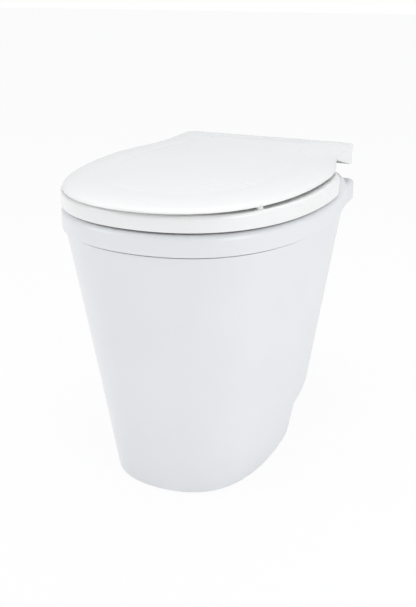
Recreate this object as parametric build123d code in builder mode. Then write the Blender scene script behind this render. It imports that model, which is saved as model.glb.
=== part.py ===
"""Floor-standing dry toilet that drains urine apart and keeps solids in a lift-out container.

Frame: +Z up, +X to the sitter's left (the right of the photograph), -Y to the front,
origin on the floor at the middle of the plan. All sizes are in millimetres.
"""
import os
from math import copysign, cos, pi, sin
from build123d import *

os.makedirs("parts", exist_ok=True)

# Heights of the main levels above the floor
PAD_STANDOUT = 2.0
LEDGE_Z = 58.0
BAND_BOTTOM_Z = 386.5
BAND_TOP_Z = 414.5
SEAT_BOTTOM_Z = 418.5
SEAT_TOP_Z = 440.0
LID_BOTTOM_Z = 444.0
LID_TOP_Z = 455.0

# Plan sizes: half widths, and how far the front and the rear stand from the origin
BODY_TOP_HALF_WIDTH = 189.5
BODY_TOP_FRONT = 262.5
BODY_TOP_REAR = 244.0
BODY_BASE_HALF_WIDTH = 124.0
BODY_BASE_FRONT = 207.5
BODY_BASE_REAR = 255.0
PLINTH_REAR = 112.0
BASE_MIDDLE_Y = -7.0
TOP_MIDDLE_Y = -12.0
REAR_WALL_Y = 216.0
PLINTH_WALL_Y = 104.0
BAND_HALF_WIDTH = 193.5
BAND_FRONT = 266.5
BAND_REAR = 244.5
BAND_WALL_Y = 180.0
DECK_HALF_WIDTH = 160.0
DECK_FRONT_Y = 110.0
DECK_REAR_Y = 246.0
DECK_TOP_Z = 388.0
DECK_BOTTOM_Z = 356.0
FULLNESS = 0.64
EAR_LEAN = 0.45
BASE_FULLNESS = 0.7
WALL = 4.0
RUN = 0.3
FAR = 400.0

# Sitting opening
OPENING_HALF_WIDTH = 104.0
OPENING_FRONT = 202.0
OPENING_REAR = 92.0

# Fits
PIN_RADIUS = 4.0
PIN_CLEARANCE = 0.05


def blend(low, high, share):
    """The value that lies a given share of the way from low to high."""
    return low + (high - low) * share


def oval(half_width, front, rear, middle=TOP_MIDDLE_Y, fullness=FULLNESS):
    """Plan outline of four quarter curves: widest at middle, ends at -front and +rear."""
    front_pull = middle + fullness * (-front - middle)
    rear_pull = middle + fullness * (rear - middle)
    side_pull = fullness * half_width
    with BuildLine() as path:
        Bezier((half_width, middle), (half_width, front_pull), (side_pull, -front), (0, -front))
        Bezier((0, -front), (-side_pull, -front), (-half_width, front_pull), (-half_width, middle))
        Bezier((-half_width, middle), (-half_width, rear_pull), (-side_pull, rear), (0, rear))
        Bezier((0, rear), (side_pull, rear), (half_width, rear_pull), (half_width, middle))
    make_face(path.edges())


def eared(half_width, front, ear_half_width, ear_start, rear, corner, middle=TOP_MIDDLE_Y):
    """Oval front whose sides draw in to a straight-sided rear with rounded corners."""
    front_pull = middle + FULLNESS * (-front - middle)
    side_pull = FULLNESS * half_width
    lean = (ear_start - middle) * EAR_LEAN
    with BuildLine() as path:
        Bezier((half_width, middle), (half_width, front_pull), (side_pull, -front), (0, -front))
        Bezier((0, -front), (-side_pull, -front), (-half_width, front_pull), (-half_width, middle))
        Bezier(
            (-half_width, middle),
            (-half_width, middle + lean),
            (-ear_half_width, ear_start - lean),
            (-ear_half_width, ear_start),
        )
        Line((-ear_half_width, ear_start), (-ear_half_width, rear - corner))
        RadiusArc((-ear_half_width, rear - corner), (-ear_half_width + corner, rear), corner)
        Line((-ear_half_width + corner, rear), (ear_half_width - corner, rear))
        RadiusArc((ear_half_width - corner, rear), (ear_half_width, rear - corner), corner)
        Line((ear_half_width, rear - corner), (ear_half_width, ear_start))
        Bezier(
            (ear_half_width, ear_start),
            (ear_half_width, ear_start - lean),
            (half_width, middle + lean),
            (half_width, middle),
        )
    make_face(path.edges())


def cut_rear(wall_y):
    """Cut a plan outline off straight at the rear."""
    with Locations((0, wall_y + FAR)):
        Rectangle(4 * FAR, 2 * FAR, mode=Mode.SUBTRACT)


def body_oval(height, inset=0.0, base_rear=BODY_BASE_REAR):
    """The body's plan outline at a height, drawn in by inset. The walls taper evenly."""
    share = height / BAND_BOTTOM_Z
    oval(
        blend(BODY_BASE_HALF_WIDTH, BODY_TOP_HALF_WIDTH, share) - inset,
        blend(BODY_BASE_FRONT, BODY_TOP_FRONT, share) - inset,
        blend(base_rear, BODY_TOP_REAR, share) - inset,
        blend(BASE_MIDDLE_Y, TOP_MIDDLE_Y, share),
        blend(BASE_FULLNESS, FULLNESS, share),
    )


def tapered(bottom, top, inset, base_rear, wall_y):
    """The tapered body between two heights, drawn in by inset and flat at the rear."""
    with BuildPart() as shape:
        with BuildSketch(Plane.XY.offset(bottom)):
            body_oval(bottom, inset, base_rear)
        with BuildSketch(Plane.XY.offset(top)):
            body_oval(top, inset, base_rear)
        loft(ruled=True)
        with Locations((0, wall_y - inset, 0)):
            Box(2 * FAR, FAR, 4 * FAR, align=(Align.CENTER, Align.MIN, Align.CENTER), mode=Mode.SUBTRACT)
    return shape.part


def upright(y):
    """A plane that stands at this y, with X to the right and Z up, facing the front."""
    return Plane.XZ.offset(-y)


def mirrored(points):
    """The points and their images on the other side of the centre plane."""
    return [(side * x, y) for x, y in points for side in (-1, 1)]


def save(piece, name):
    """Label a finished piece and write it under its node's name."""
    piece.part.label = name
    export_step(piece.part, "parts/" + name + ".step")


# Housing: one moulded tub, plinth and body in one, open at the top. The body overhangs
# the plinth at the rear by a ledge, which leaves room on the floor for the drain.
HOUSING_FLOOR_Z = PAD_STANDOUT + WALL
LEDGE_START_Y = 2.0
REAR_TOP_Z = DECK_TOP_Z - WALL - RUN
NECK_INSET = 2.5
NECK_BOTTOM_Z = 374.0
NECK_TOP_Z = BAND_TOP_Z - WALL - RUN
NECK_WALL_Y = BAND_WALL_Y - WALL - 2.0
POCKET_INSET = WALL - 0.5
RIB_TOP_Z = 48.0
RIB_X = 52.0
RIB_WIDTH = 6.0
RIB_LENGTH = 190.0
RIB_MIDDLE_Y = -24.0
FIXING_SPACING_X = 140.0
FIXING_SPACING_Y = 120.0
FIXING_MIDDLE_Y = -25.0
FIXING_RADIUS = 4.5
PAD_RADIUS = 12.0
PAD_RECESS = 1.5
PAD_CLEARANCE = 0.2
PAD_POINTS = mirrored([(92.0, -118.0), (84.0, 60.0)])
FAN_Z = 296.0
VENT_HOLE_RADIUS = 37.0
VENT_SCREW_PITCH = 71.5
M4_RADIUS = 2.0
M4_HOLE_RADIUS = 2.25
SOCKET_Z = 225.0
SOCKET_RADIUS = 6.0
THREAD_CLEARANCE = 0.05
DRAIN_Z = 30.0
OUTLET_THREAD_RADIUS = 18.0
OUTLET_CLEARANCE = 0.2


def rear_recess(ceiling, inset):
    """The space below the ledge and behind the plinth, for a plinth drawn in by inset."""
    with BuildPart() as recess:
        with Locations((0, LEDGE_START_Y, 0)):
            Box(2 * FAR, FAR, ceiling, align=(Align.CENTER, Align.MIN, Align.MIN))
        add(tapered(0, ceiling + 1, inset, PLINTH_REAR, PLINTH_WALL_Y), mode=Mode.SUBTRACT)
    return recess.part


with BuildPart() as hollow:
    add(tapered(HOUSING_FLOOR_Z, NECK_BOTTOM_Z + 1, WALL, BODY_BASE_REAR, REAR_WALL_Y))
    add(rear_recess(LEDGE_Z + WALL, WALL), mode=Mode.SUBTRACT)

with BuildPart() as housing:
    add(tapered(PAD_STANDOUT, REAR_TOP_Z, 0, BODY_BASE_REAR, REAR_WALL_Y))
    add(rear_recess(LEDGE_Z, 0), mode=Mode.SUBTRACT)
    # The round neck stands up inside the top section's band
    with BuildSketch(Plane.XY.offset(NECK_BOTTOM_Z)):
        body_oval(REAR_TOP_Z, NECK_INSET)
        cut_rear(NECK_WALL_Y)
    extrude(amount=NECK_TOP_Z - NECK_BOTTOM_Z)
    add(hollow.part, mode=Mode.SUBTRACT)
    with BuildSketch(Plane.XY.offset(NECK_BOTTOM_Z)):
        body_oval(REAR_TOP_Z, NECK_INSET + WALL)
        cut_rear(NECK_WALL_Y - WALL)
    extrude(amount=NECK_TOP_Z - NECK_BOTTOM_Z, mode=Mode.SUBTRACT)
    # The hinge deck's space behind the neck is open at the top
    with BuildSketch(Plane.XY.offset(NECK_BOTTOM_Z)):
        body_oval(NECK_BOTTOM_Z, POCKET_INSET)
        cut_rear(REAR_WALL_Y - POCKET_INSET)
        with Locations((0, NECK_WALL_Y - FAR)):
            Rectangle(4 * FAR, 2 * FAR, mode=Mode.SUBTRACT)
    extrude(amount=NECK_TOP_Z - NECK_BOTTOM_Z, mode=Mode.SUBTRACT)
    # Two ribs on the floor carry the container, with the drain pipe between them
    with Locations((-RIB_X, RIB_MIDDLE_Y, HOUSING_FLOOR_Z), (RIB_X, RIB_MIDDLE_Y, HOUSING_FLOOR_Z)):
        Box(RIB_WIDTH, RIB_LENGTH, RIB_TOP_Z - HOUSING_FLOOR_Z, align=(Align.CENTER, Align.CENTER, Align.MIN))
    # Floor fixing holes and recesses for the pads
    with BuildSketch(Plane.XY.offset(PAD_STANDOUT)):
        with Locations((0, FIXING_MIDDLE_Y)):
            with GridLocations(FIXING_SPACING_X, FIXING_SPACING_Y, 2, 2):
                Circle(FIXING_RADIUS)
    extrude(amount=WALL, mode=Mode.SUBTRACT)
    with BuildSketch(Plane.XY.offset(PAD_STANDOUT)):
        with Locations(*PAD_POINTS):
            Circle(PAD_RADIUS + PAD_CLEARANCE)
    extrude(amount=PAD_RECESS, mode=Mode.SUBTRACT)
    # Rear wall: vent, its four screws and the power socket
    with BuildSketch(upright(REAR_WALL_Y)):
        with Locations((0, FAN_Z)):
            Circle(VENT_HOLE_RADIUS)
            with GridLocations(VENT_SCREW_PITCH, VENT_SCREW_PITCH, 2, 2):
                Circle(M4_HOLE_RADIUS)
        with Locations((0, SOCKET_Z)):
            Circle(SOCKET_RADIUS + THREAD_CLEARANCE)
    extrude(amount=WALL, mode=Mode.SUBTRACT)
    # Plinth's rear wall: urine outlet
    with BuildSketch(upright(PLINTH_WALL_Y)):
        with Locations((0, DRAIN_Z)):
            Circle(OUTLET_THREAD_RADIUS + OUTLET_CLEARANCE)
    extrude(amount=WALL, mode=Mode.SUBTRACT)
save(housing, "housing")

# Pads: rubber discs set in the plinth's underside
with BuildPart() as foot_pads:
    with BuildSketch():
        with Locations(*PAD_POINTS):
            Circle(PAD_RADIUS)
    extrude(amount=PAD_STANDOUT + PAD_RECESS)
save(foot_pads, "foot_pads")

# Vent: a flanged collar outside the rear wall on a gasket, with an insect screen in the
# wall's hole. The same four long screws hold the fan inside, with nuts on its front.
FLANGE_SIDE = 92.0
FLANGE_CORNER = 8.0
FLANGE_THICKNESS = 4.0
GASKET_THICKNESS = 1.5
SPIGOT_RADIUS = 37.5
SPIGOT_BORE_RADIUS = 34.5
SPIGOT_END_Y = 277.0
SCREEN_THICKNESS = 1.0
SCREEN_HOLE_RADIUS = 2.0
SCREEN_PITCH = 6.0
SCREEN_COUNT = 11
M4_HEAD_RADIUS = 3.9
M4_HEAD_HEIGHT = 2.6
M4_NUT_RADIUS = 4.0
M4_NUT_HEIGHT = 3.2
M4_NUT_BORE = 2.03
FAN_SIDE = 80.0
FAN_DEPTH = 25.0
WALL_INSIDE_Y = REAR_WALL_Y - WALL
FLANGE_Y = REAR_WALL_Y + GASKET_THICKNESS
FLANGE_OUTSIDE_Y = FLANGE_Y + FLANGE_THICKNESS
FAN_FRONT_Y = WALL_INSIDE_Y - FAN_DEPTH

with BuildPart() as vent_gasket:
    with BuildSketch(upright(FLANGE_Y)):
        with Locations((0, FAN_Z)):
            RectangleRounded(FLANGE_SIDE, FLANGE_SIDE, FLANGE_CORNER)
            Circle(SPIGOT_BORE_RADIUS, mode=Mode.SUBTRACT)
            with GridLocations(VENT_SCREW_PITCH, VENT_SCREW_PITCH, 2, 2):
                Circle(M4_HOLE_RADIUS, mode=Mode.SUBTRACT)
    extrude(amount=GASKET_THICKNESS)
save(vent_gasket, "vent_gasket")

with BuildPart() as vent_collar:
    with BuildSketch(upright(FLANGE_OUTSIDE_Y)):
        with Locations((0, FAN_Z)):
            RectangleRounded(FLANGE_SIDE, FLANGE_SIDE, FLANGE_CORNER)
            with GridLocations(VENT_SCREW_PITCH, VENT_SCREW_PITCH, 2, 2):
                Circle(M4_HOLE_RADIUS, mode=Mode.SUBTRACT)
    extrude(amount=FLANGE_THICKNESS)
    with BuildSketch(upright(SPIGOT_END_Y)):
        with Locations((0, FAN_Z)):
            Circle(SPIGOT_RADIUS)
    extrude(amount=SPIGOT_END_Y - FLANGE_Y)
    with BuildSketch(upright(SPIGOT_END_Y)):
        with Locations((0, FAN_Z)):
            Circle(SPIGOT_BORE_RADIUS)
    extrude(amount=SPIGOT_END_Y - FLANGE_Y, mode=Mode.SUBTRACT)
save(vent_collar, "vent_collar")

with BuildPart() as vent_screws:
    with BuildSketch(upright(FLANGE_OUTSIDE_Y + M4_HEAD_HEIGHT)):
        with Locations((0, FAN_Z)):
            with GridLocations(VENT_SCREW_PITCH, VENT_SCREW_PITCH, 2, 2):
                Circle(M4_HEAD_RADIUS)
    extrude(amount=M4_HEAD_HEIGHT)
    with BuildSketch(upright(FLANGE_OUTSIDE_Y)):
        with Locations((0, FAN_Z)):
            with GridLocations(VENT_SCREW_PITCH, VENT_SCREW_PITCH, 2, 2):
                Circle(M4_RADIUS)
    extrude(amount=FLANGE_OUTSIDE_Y - FAN_FRONT_Y + M4_NUT_HEIGHT + 1.0)
save(vent_screws, "vent_screws")

with BuildPart() as vent_nuts:
    with BuildSketch(upright(FAN_FRONT_Y)):
        with Locations((0, FAN_Z)):
            with GridLocations(VENT_SCREW_PITCH, VENT_SCREW_PITCH, 2, 2):
                RegularPolygon(M4_NUT_RADIUS, 6)
                Circle(M4_NUT_BORE, mode=Mode.SUBTRACT)
    extrude(amount=M4_NUT_HEIGHT)
save(vent_nuts, "vent_nuts")

with BuildPart() as insect_screen:
    with BuildSketch(upright(REAR_WALL_Y)):
        with Locations((0, FAN_Z)):
            Circle(VENT_HOLE_RADIUS - PIN_CLEARANCE)
            screen_holes = [
                spot.position.to_tuple()[:2]
                for spot in GridLocations(
                    SCREEN_PITCH, SCREEN_PITCH, SCREEN_COUNT, SCREEN_COUNT
                ).local_locations
                if spot.position.length < SPIGOT_BORE_RADIUS - 2 * SCREEN_HOLE_RADIUS
            ]
            with Locations(*screen_holes):
                Circle(SCREEN_HOLE_RADIUS, mode=Mode.SUBTRACT)
    extrude(amount=SCREEN_THICKNESS)
save(insect_screen, "insect_screen")

# Fan: square frame with a motor plate on three struts and a bearing boss, and a rotor of
# seven pitched blades on a cup hub with a steel shaft
FAN_BORE_RADIUS = 37.5
FAN_CORNER = 4.0
MOTOR_RADIUS = 18.0
MOTOR_PLATE = 4.0
STRUT_WIDTH = 4.0
BOSS_RADIUS = 5.0
BOSS_FRONT_Y = 195.0
SHAFT_RADIUS = 1.5
HUB_RADIUS = 18.5
HUB_WALL = 1.6
HUB_FRONT_Y = 189.0
HUB_REAR_Y = 206.0
BLADE_COUNT = 7
BLADE_LENGTH = 18.6
BLADE_CHORD = 15.0
BLADE_THICKNESS = 1.6
BLADE_PITCH = 38.0

with BuildPart() as fan_frame:
    with BuildSketch(upright(WALL_INSIDE_Y)):
        with Locations((0, FAN_Z)):
            RectangleRounded(FAN_SIDE, FAN_SIDE, FAN_CORNER)
            Circle(FAN_BORE_RADIUS, mode=Mode.SUBTRACT)
            with GridLocations(VENT_SCREW_PITCH, VENT_SCREW_PITCH, 2, 2):
                Circle(M4_HOLE_RADIUS, mode=Mode.SUBTRACT)
    extrude(amount=FAN_DEPTH)
    with BuildSketch(upright(WALL_INSIDE_Y)):
        with Locations((0, FAN_Z)):
            Circle(MOTOR_RADIUS)
            with PolarLocations(FAN_BORE_RADIUS / 2, 3, start_angle=90):
                Rectangle(FAN_BORE_RADIUS + 1, STRUT_WIDTH)
    extrude(amount=MOTOR_PLATE)
    with BuildSketch(upright(WALL_INSIDE_Y)):
        with Locations((0, FAN_Z)):
            Circle(BOSS_RADIUS)
    extrude(amount=WALL_INSIDE_Y - BOSS_FRONT_Y)
    with BuildSketch(upright(WALL_INSIDE_Y)):
        with Locations((0, FAN_Z)):
            Circle(SHAFT_RADIUS + PIN_CLEARANCE)
    extrude(amount=WALL_INSIDE_Y - BOSS_FRONT_Y, mode=Mode.SUBTRACT)
save(fan_frame, "fan_frame")

with BuildPart() as fan_rotor:
    with BuildSketch(upright(HUB_REAR_Y)):
        with Locations((0, FAN_Z)):
            Circle(HUB_RADIUS)
    extrude(amount=HUB_REAR_Y - HUB_FRONT_Y)
    blade_plane = Plane(origin=(0, (HUB_REAR_Y + HUB_FRONT_Y) / 2, FAN_Z), z_dir=(0, 1, 0))
    with Locations(blade_plane):
        with PolarLocations(HUB_RADIUS - 1 + BLADE_LENGTH / 2, BLADE_COUNT):
            Box(BLADE_LENGTH, BLADE_CHORD, BLADE_THICKNESS, rotation=(BLADE_PITCH, 0, 0))
    with BuildSketch(upright(HUB_REAR_Y)):
        with Locations((0, FAN_Z)):
            Circle(HUB_RADIUS - HUB_WALL)
    extrude(amount=HUB_REAR_Y - HUB_FRONT_Y - 2 * HUB_WALL, mode=Mode.SUBTRACT)
    with BuildSketch(upright(HUB_REAR_Y)):
        with Locations((0, FAN_Z)):
            Circle(SHAFT_RADIUS)
    extrude(amount=HUB_REAR_Y - HUB_FRONT_Y + 1, mode=Mode.SUBTRACT)
save(fan_rotor, "fan_rotor")

with BuildPart() as fan_shaft:
    with BuildSketch(upright(WALL_INSIDE_Y - 1)):
        with Locations((0, FAN_Z)):
            Circle(SHAFT_RADIUS)
    extrude(amount=WALL_INSIDE_Y - 1 - HUB_FRONT_Y)
save(fan_shaft, "fan_shaft")

# Power: a round low-voltage socket in the rear wall with its nut, and the lead to the fan
SOCKET_FLANGE_RADIUS = 8.0
SOCKET_FLANGE = 2.0
SOCKET_END_Y = 204.0
SOCKET_BORE_RADIUS = 2.75
SOCKET_BORE_DEPTH = 9.5
SOCKET_PIN_RADIUS = 1.0
SOCKET_NUT_RADIUS = 9.0
SOCKET_NUT_HEIGHT = 3.0
LEAD_RADIUS = 2.0
LEAD_Y = 193.0
LEAD_BEND = 8.0

with BuildPart() as power_socket:
    with BuildSketch(upright(REAR_WALL_Y + SOCKET_FLANGE)):
        with Locations((0, SOCKET_Z)):
            Circle(SOCKET_FLANGE_RADIUS)
    extrude(amount=SOCKET_FLANGE)
    with BuildSketch(upright(REAR_WALL_Y)):
        with Locations((0, SOCKET_Z)):
            Circle(SOCKET_RADIUS)
    extrude(amount=REAR_WALL_Y - SOCKET_END_Y)
    with BuildSketch(upright(REAR_WALL_Y + SOCKET_FLANGE)):
        with Locations((0, SOCKET_Z)):
            Circle(SOCKET_BORE_RADIUS)
            Circle(SOCKET_PIN_RADIUS, mode=Mode.SUBTRACT)
    extrude(amount=SOCKET_BORE_DEPTH, mode=Mode.SUBTRACT)
save(power_socket, "power_socket")

with BuildPart() as power_socket_nut:
    with BuildSketch(upright(WALL_INSIDE_Y)):
        with Locations((0, SOCKET_Z)):
            RegularPolygon(SOCKET_NUT_RADIUS, 6)
            Circle(SOCKET_RADIUS + THREAD_CLEARANCE, mode=Mode.SUBTRACT)
    extrude(amount=SOCKET_NUT_HEIGHT)
save(power_socket_nut, "power_socket_nut")

with BuildPart() as fan_lead:
    with BuildLine() as lead_path:
        FilletPolyline(
            (0, SOCKET_END_Y, SOCKET_Z),
            (0, LEAD_Y, SOCKET_Z),
            (0, LEAD_Y, FAN_Z - FAN_SIDE / 2),
            radius=LEAD_BEND,
        )
    with BuildSketch(Plane(origin=lead_path.line @ 0, z_dir=lead_path.line % 0)):
        Circle(LEAD_RADIUS)
    sweep()
save(fan_lead, "fan_lead")

# Drain: the bowl's spout drips into a receiver cup on a pipe, which turns under the
# container and leaves through a bulkhead outlet in the plinth's rear wall
SPOUT_Y = -186.0
PIPE_RADIUS = 16.0
PIPE_BORE_RADIUS = 14.2
PIPE_TOP_Z = 240.0
PIPE_BEND = 40.0
PIPE_FIT = 0.05
PIPE_END_Y = 90.0
OUTLET_SOCKET_Y = 72.0
OUTLET_SHOULDER_Y = 91.0
OUTLET_BORE_RADIUS = 13.5
OUTLET_FLANGE_RADIUS = 24.0
OUTLET_FLANGE = 4.0
OUTLET_LENGTH = 40.0
OUTLET_NUT_RADIUS = 25.4
OUTLET_NUT_HEIGHT = 6.0
OUTLET_FLANGE_Y = PLINTH_WALL_Y + GASKET_THICKNESS
OUTLET_END_Y = OUTLET_FLANGE_Y + OUTLET_FLANGE + OUTLET_LENGTH
CLIP_POINTS = [-105.0, 25.0]
CLIP_WIDTH = 46.0
CLIP_LENGTH = 10.0
CUP_RADIUS = 31.0
CUP_WALL = 2.5
CUP_NECK_RADIUS = 19.5
CUP_SOCKET_DEPTH = 25.0
CUP_FLARE_Z = 246.0
CUP_STRAIGHT_Z = 264.0
CUP_TOP_Z = 288.0

with BuildPart() as urine_pipe:
    with BuildLine() as pipe_path:
        FilletPolyline(
            (0, SPOUT_Y, PIPE_TOP_Z),
            (0, SPOUT_Y, DRAIN_Z),
            (0, PIPE_END_Y, DRAIN_Z),
            radius=PIPE_BEND,
        )
    with BuildSketch(Plane(origin=pipe_path.line @ 0, z_dir=pipe_path.line % 0)):
        Circle(PIPE_RADIUS)
        Circle(PIPE_BORE_RADIUS, mode=Mode.SUBTRACT)
    sweep()
save(urine_pipe, "urine_pipe")

with BuildPart() as pipe_clips:
    with Locations(*[(0, y, HOUSING_FLOOR_Z) for y in CLIP_POINTS]):
        Box(CLIP_WIDTH, CLIP_LENGTH, DRAIN_Z - HOUSING_FLOOR_Z, align=(Align.CENTER, Align.CENTER, Align.MIN))
    with BuildSketch(upright(PLINTH_WALL_Y)):
        with Locations((0, DRAIN_Z)):
            Circle(PIPE_RADIUS + PIPE_FIT)
    extrude(amount=FAR, mode=Mode.SUBTRACT)
save(pipe_clips, "pipe_clips")

with BuildPart() as urine_receiver:
    with BuildSketch(upright(SPOUT_Y)):
        with BuildLine():
            Polyline(
                (PIPE_RADIUS + PIPE_FIT, PIPE_TOP_Z - CUP_SOCKET_DEPTH),
                (CUP_NECK_RADIUS, PIPE_TOP_Z - CUP_SOCKET_DEPTH),
                (CUP_NECK_RADIUS, CUP_FLARE_Z),
                (CUP_RADIUS, CUP_STRAIGHT_Z),
                (CUP_RADIUS, CUP_TOP_Z),
                (CUP_RADIUS - CUP_WALL, CUP_TOP_Z),
                (CUP_RADIUS - CUP_WALL, CUP_STRAIGHT_Z + 1),
                (PIPE_BORE_RADIUS, PIPE_TOP_Z + 1),
                (PIPE_BORE_RADIUS, PIPE_TOP_Z),
                (PIPE_RADIUS + PIPE_FIT, PIPE_TOP_Z),
                close=True,
            )
        make_face()
    revolve(axis=Axis((0, SPOUT_Y, 0), (0, 0, 1)))
save(urine_receiver, "urine_receiver")

with BuildPart() as urine_outlet:
    with BuildSketch(upright(OUTLET_END_Y)):
        with Locations((0, DRAIN_Z)):
            Circle(PIPE_RADIUS)
    extrude(amount=OUTLET_LENGTH)
    with BuildSketch(upright(OUTLET_FLANGE_Y + OUTLET_FLANGE)):
        with Locations((0, DRAIN_Z)):
            Circle(OUTLET_FLANGE_RADIUS)
    extrude(amount=OUTLET_FLANGE)
    with BuildSketch(upright(OUTLET_FLANGE_Y)):
        with Locations((0, DRAIN_Z)):
            Circle(OUTLET_THREAD_RADIUS)
    extrude(amount=OUTLET_FLANGE_Y - OUTLET_SOCKET_Y)
    with BuildSketch(upright(OUTLET_END_Y)):
        with Locations((0, DRAIN_Z)):
            Circle(OUTLET_BORE_RADIUS)
    extrude(amount=OUTLET_END_Y - OUTLET_SOCKET_Y, mode=Mode.SUBTRACT)
    with BuildSketch(upright(OUTLET_SHOULDER_Y)):
        with Locations((0, DRAIN_Z)):
            Circle(PIPE_RADIUS + PIPE_FIT)
    extrude(amount=OUTLET_SHOULDER_Y - OUTLET_SOCKET_Y, mode=Mode.SUBTRACT)
save(urine_outlet, "urine_outlet")

with BuildPart() as outlet_gasket:
    with BuildSketch(upright(OUTLET_FLANGE_Y)):
        with Locations((0, DRAIN_Z)):
            Circle(OUTLET_FLANGE_RADIUS)
            Circle(OUTLET_THREAD_RADIUS + THREAD_CLEARANCE, mode=Mode.SUBTRACT)
    extrude(amount=GASKET_THICKNESS)
save(outlet_gasket, "outlet_gasket")

with BuildPart() as outlet_nut:
    with BuildSketch(upright(PLINTH_WALL_Y - WALL)):
        with Locations((0, DRAIN_Z)):
            RegularPolygon(OUTLET_NUT_RADIUS, 6)
            Circle(OUTLET_THREAD_RADIUS + THREAD_CLEARANCE, mode=Mode.SUBTRACT)
    extrude(amount=OUTLET_NUT_HEIGHT)
save(outlet_nut, "outlet_nut")

# Container: tapered tub with a rolled rim and two ears for the bail
CONTAINER_BOTTOM_Z = RIB_TOP_Z
CONTAINER_TOP_Z = 250.0
CONTAINER_Y = -12.0
CONTAINER_BASE_WIDTH = 150.0
CONTAINER_BASE_LENGTH = 170.0
CONTAINER_BASE_CORNER = 34.0
CONTAINER_TOP_WIDTH = 214.0
CONTAINER_TOP_LENGTH = 234.0
CONTAINER_TOP_CORNER = 46.0
CONTAINER_WALL = 2.5
RIM_OVERHANG = 6.0
RIM_HEIGHT = 4.0
BAIL_RADIUS = 3.0
BAIL_X = 118.5
BAIL_Y = -144.0
BAIL_Z = 234.0
BAIL_CORNER = 46.0
EAR_RADIUS = 8.0
EAR_OUTSIDE_X = 111.0
EAR_INSIDE_X = 101.0
GRIP_RADIUS = 8.0
GRIP_LENGTH = 84.0
GRIP_CHAMFER = 1.0


def tub(bottom, top, inset, mode=Mode.ADD):
    """Tapered tub between two heights, drawn in by inset."""
    with BuildSketch(Plane.XY.offset(bottom)) as low:
        with Locations((0, CONTAINER_Y)):
            RectangleRounded(
                CONTAINER_BASE_WIDTH - 2 * inset,
                CONTAINER_BASE_LENGTH - 2 * inset,
                CONTAINER_BASE_CORNER - inset,
            )
    with BuildSketch(Plane.XY.offset(top)) as high:
        with Locations((0, CONTAINER_Y)):
            RectangleRounded(
                CONTAINER_TOP_WIDTH - 2 * inset,
                CONTAINER_TOP_LENGTH - 2 * inset,
                CONTAINER_TOP_CORNER - inset,
            )
    loft([low.sketch.face(), high.sketch.face()], ruled=True, mode=mode)


with BuildPart() as solids_container:
    tub(CONTAINER_BOTTOM_Z + RUN, CONTAINER_TOP_Z, 0)
    with BuildSketch(Plane.XY.offset(CONTAINER_TOP_Z)):
        with Locations((0, CONTAINER_Y)):
            RectangleRounded(
                CONTAINER_TOP_WIDTH + 2 * RIM_OVERHANG,
                CONTAINER_TOP_LENGTH + 2 * RIM_OVERHANG,
                CONTAINER_TOP_CORNER + RIM_OVERHANG,
            )
    extrude(amount=-RIM_HEIGHT)
    with BuildSketch(Plane.YZ.offset(-EAR_OUTSIDE_X)):
        with Locations((CONTAINER_Y, BAIL_Z)):
            Circle(EAR_RADIUS)
    extrude(amount=2 * EAR_OUTSIDE_X)
    tub(CONTAINER_BOTTOM_Z + RUN + CONTAINER_WALL, CONTAINER_TOP_Z, CONTAINER_WALL, Mode.SUBTRACT)
    with BuildSketch(Plane.YZ.offset(-EAR_OUTSIDE_X)):
        with Locations((CONTAINER_Y, BAIL_Z)):
            Circle(BAIL_RADIUS + PIN_CLEARANCE)
    extrude(amount=2 * EAR_OUTSIDE_X, mode=Mode.SUBTRACT)
save(solids_container, "solids_container")

with BuildPart() as container_bail:
    with BuildLine() as bail_path:
        FilletPolyline(
            (EAR_INSIDE_X + 2, CONTAINER_Y, BAIL_Z),
            (BAIL_X, CONTAINER_Y, BAIL_Z),
            (BAIL_X, BAIL_Y, BAIL_Z),
            (-BAIL_X, BAIL_Y, BAIL_Z),
            (-BAIL_X, CONTAINER_Y, BAIL_Z),
            (-EAR_INSIDE_X - 2, CONTAINER_Y, BAIL_Z),
            radius=[4.0, BAIL_CORNER, BAIL_CORNER, 4.0],
        )
    with BuildSketch(Plane(origin=bail_path.line @ 0, z_dir=bail_path.line % 0)):
        Circle(BAIL_RADIUS)
    sweep()
save(container_bail, "container_bail")

with BuildPart() as bail_grip:
    with BuildSketch(Plane.YZ.offset(-GRIP_LENGTH / 2)):
        with Locations((BAIL_Y, BAIL_Z)):
            Circle(GRIP_RADIUS)
            Circle(BAIL_RADIUS + PIN_CLEARANCE, mode=Mode.SUBTRACT)
    extrude(amount=GRIP_LENGTH)
    chamfer(bail_grip.faces().filter_by(Plane.YZ).edges().filter_by(lambda e: e.radius > BAIL_RADIUS + 1), GRIP_CHAMFER)
save(bail_grip, "bail_grip")

# Top section: the band that caps the housing, its deck round the bowl, and the lower
# hinge deck at the rear with its skirts. It lifts off the neck.
BAND_ROUND = 8.0
DECK_CORNER = 16.0
DECK_ROUND = 7.0
BODY_CLEARANCE = 1.2
HOLE_HALF_WIDTH = 133.0
HOLE_FRONT = 228.0
HOLE_REAR = 122.0
LEDGE_WALL = 4.0
LEDGE_WIDTH = 13.0
LEDGE_TOP_Z = 404.0
LEDGE_BOTTOM_Z = 400.0
HINGE_Y = 226.0
HINGE_Z = 426.0
HINGE_FOOT_Y = 194.0
HINGE_BOLT_X = [72.0, 100.0]
M5_RADIUS = 2.5
M5_HOLE_RADIUS = 2.75
BOWL_SCREW_HOLE = 2.0
BOWL_SCREW_COUNT = 6
RIM_SQUARENESS = 2.3


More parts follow.
